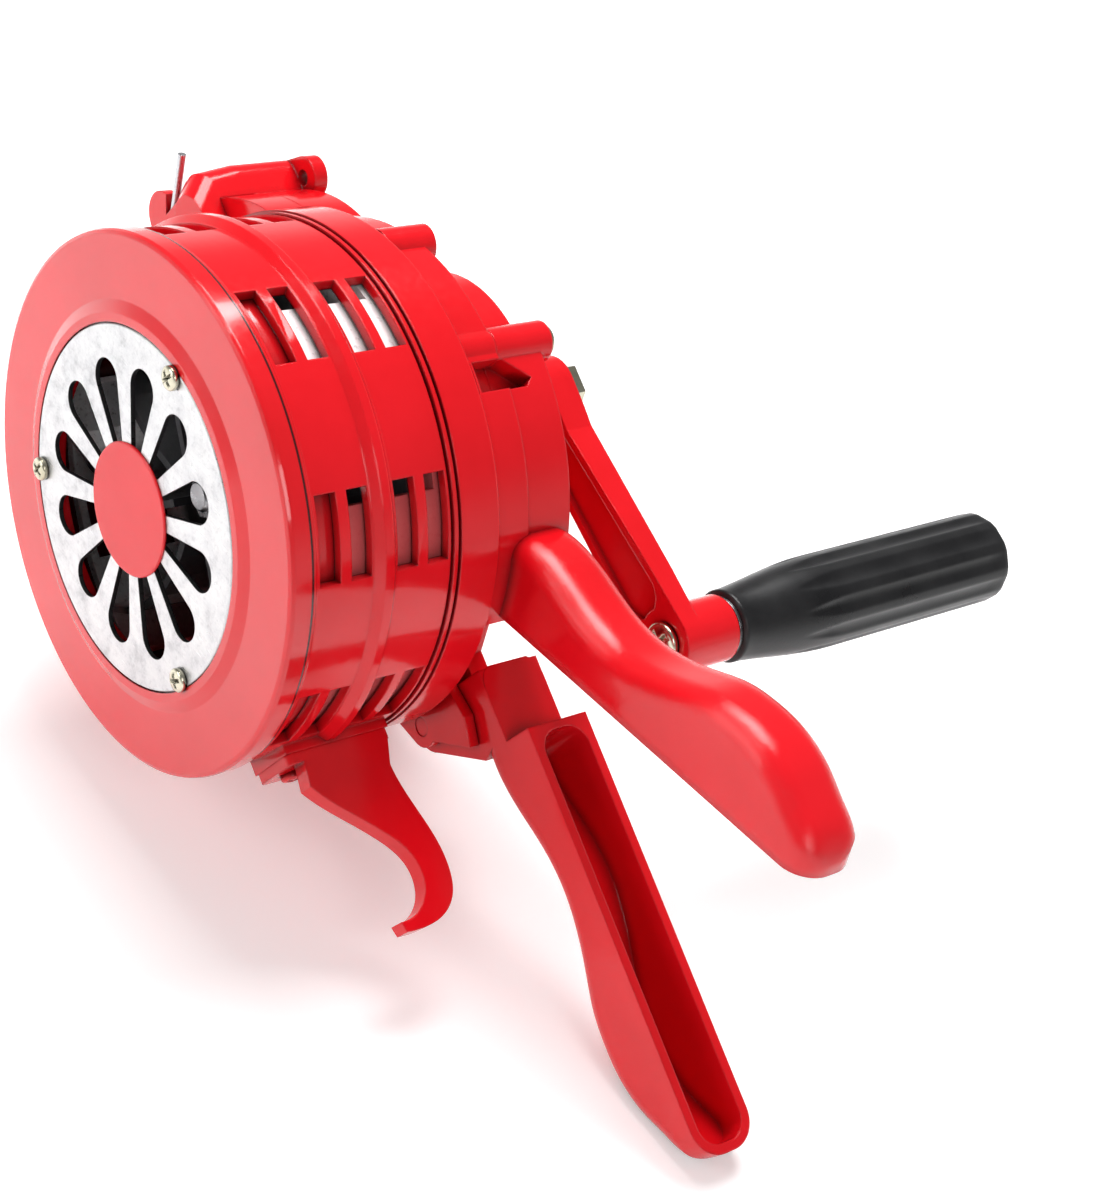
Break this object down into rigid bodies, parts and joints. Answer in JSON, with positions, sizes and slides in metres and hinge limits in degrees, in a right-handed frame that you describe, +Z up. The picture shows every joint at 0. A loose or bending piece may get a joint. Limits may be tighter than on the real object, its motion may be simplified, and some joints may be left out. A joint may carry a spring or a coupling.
{
  "type": "hand crank siren",
  "caption": "Hand crank siren: round slotted drum with grille, gear case, side crank with fluted grip, two half-grip legs and a hook foot.",
  "frame": {"origin": "middle of the bounding box in plan, on the surface that the siren lies on: its gear case and stand leg touch z = 0", "axes": "+Z up; +Y along the drum axis, from the grille towards the crank; +X along the surface, from the gear case towards the tips of the grip halves"},
  "size_m": [0.2804, 0.2252, 0.151],
  "materials": {
    "red_paint": "glossy red enamel on cast aluminium",
    "grille": "stamped and lightly mottled bare aluminium",
    "cast": "bare cast aluminium",
    "plated": "nickel-plated steel",
    "steel": "machined steel",
    "black": "satin black moulded plastic",
    "bronze": "sintered bronze"
  },
  "bodies": {
    "housing": {"front_cover": "red_paint", "grille_plate": "grille", "centre_disc": "red_paint", "grille_screws": "plated", "drum_shell": "red_paint", "rotor_bearing_front": "steel", "rotor_bearing_rear": "steel", "back_plate": "red_paint", "large_gear_axle": "steel", "idler_axle": "steel", "crank_bush": "bronze", "gear_case_front": "red_paint", "gear_case_rear": "red_paint", "case_screws": "plated", "grip_half_fixed": "red_paint", "grip_half_screws": "plated", "leg_pin": "red_paint", "hook_foot": "red_paint", "hook_screws": "red_paint", "bar_pin": "plated", "bar_tab": "red_paint", "spring_handle": "steel", "spring_ends": "plated", "spring_pins": "plated"},
    "rotor": {"rotor": "cast", "rotor_shaft": "steel", "rotor_nut": "steel", "rotor_pinion": "steel"},
    "large_gear": {"large_gear": "steel"},
    "idler": {"idler_gear": "steel"},
    "crank": {"crank_gear": "steel", "crank_shaft": "steel", "crank_arm": "red_paint", "crank_nut": "plated", "grip_pin": "plated", "grip_washer": "steel"},
    "grip": {"crank_grip": "black"},
    "leg": {"stand_leg": "red_paint"}
  },
  "joints": [
    {"name": "rotor_turn", "type": "hinge", "parent": "housing", "child": "rotor", "pos_m": [-0.03281, -0.0794, 0.08501], "axis": [0, 1, 0], "continuous": true},
    {"name": "large_gear_turn", "type": "hinge", "parent": "housing", "child": "large_gear", "pos_m": [-0.07637, -0.0394, 0.058], "axis": [0, 1, 0], "continuous": true},
    {"name": "idler_turn", "type": "hinge", "parent": "housing", "child": "idler", "pos_m": [-0.05115, -0.0314, 0.0718], "axis": [0, 1, 0], "continuous": true},
    {"name": "crank_turn", "type": "hinge", "parent": "housing", "child": "crank", "pos_m": [-0.02489, -0.0194, 0.10361], "axis": [0, 1, 0], "continuous": true},
    {"name": "grip_spin", "type": "hinge", "parent": "crank", "child": "grip", "pos_m": [0.04448, 0.0506, 0.07615], "axis": [0, 1, 0], "continuous": true},
    {"name": "leg_fold", "type": "hinge", "parent": "housing", "child": "leg", "pos_m": [0.01712, -0.0394, 0.0402], "axis": [0, -1, 0], "range_deg": [0, 37]}
  ],
  "couplings": [
    {"joint": "crank_turn", "follows": "rotor_turn", "ratio": -0.028125},
    {"joint": "idler_turn", "follows": "rotor_turn", "ratio": 0.075},
    {"joint": "large_gear_turn", "follows": "rotor_turn", "ratio": -0.17143}
  ]
}
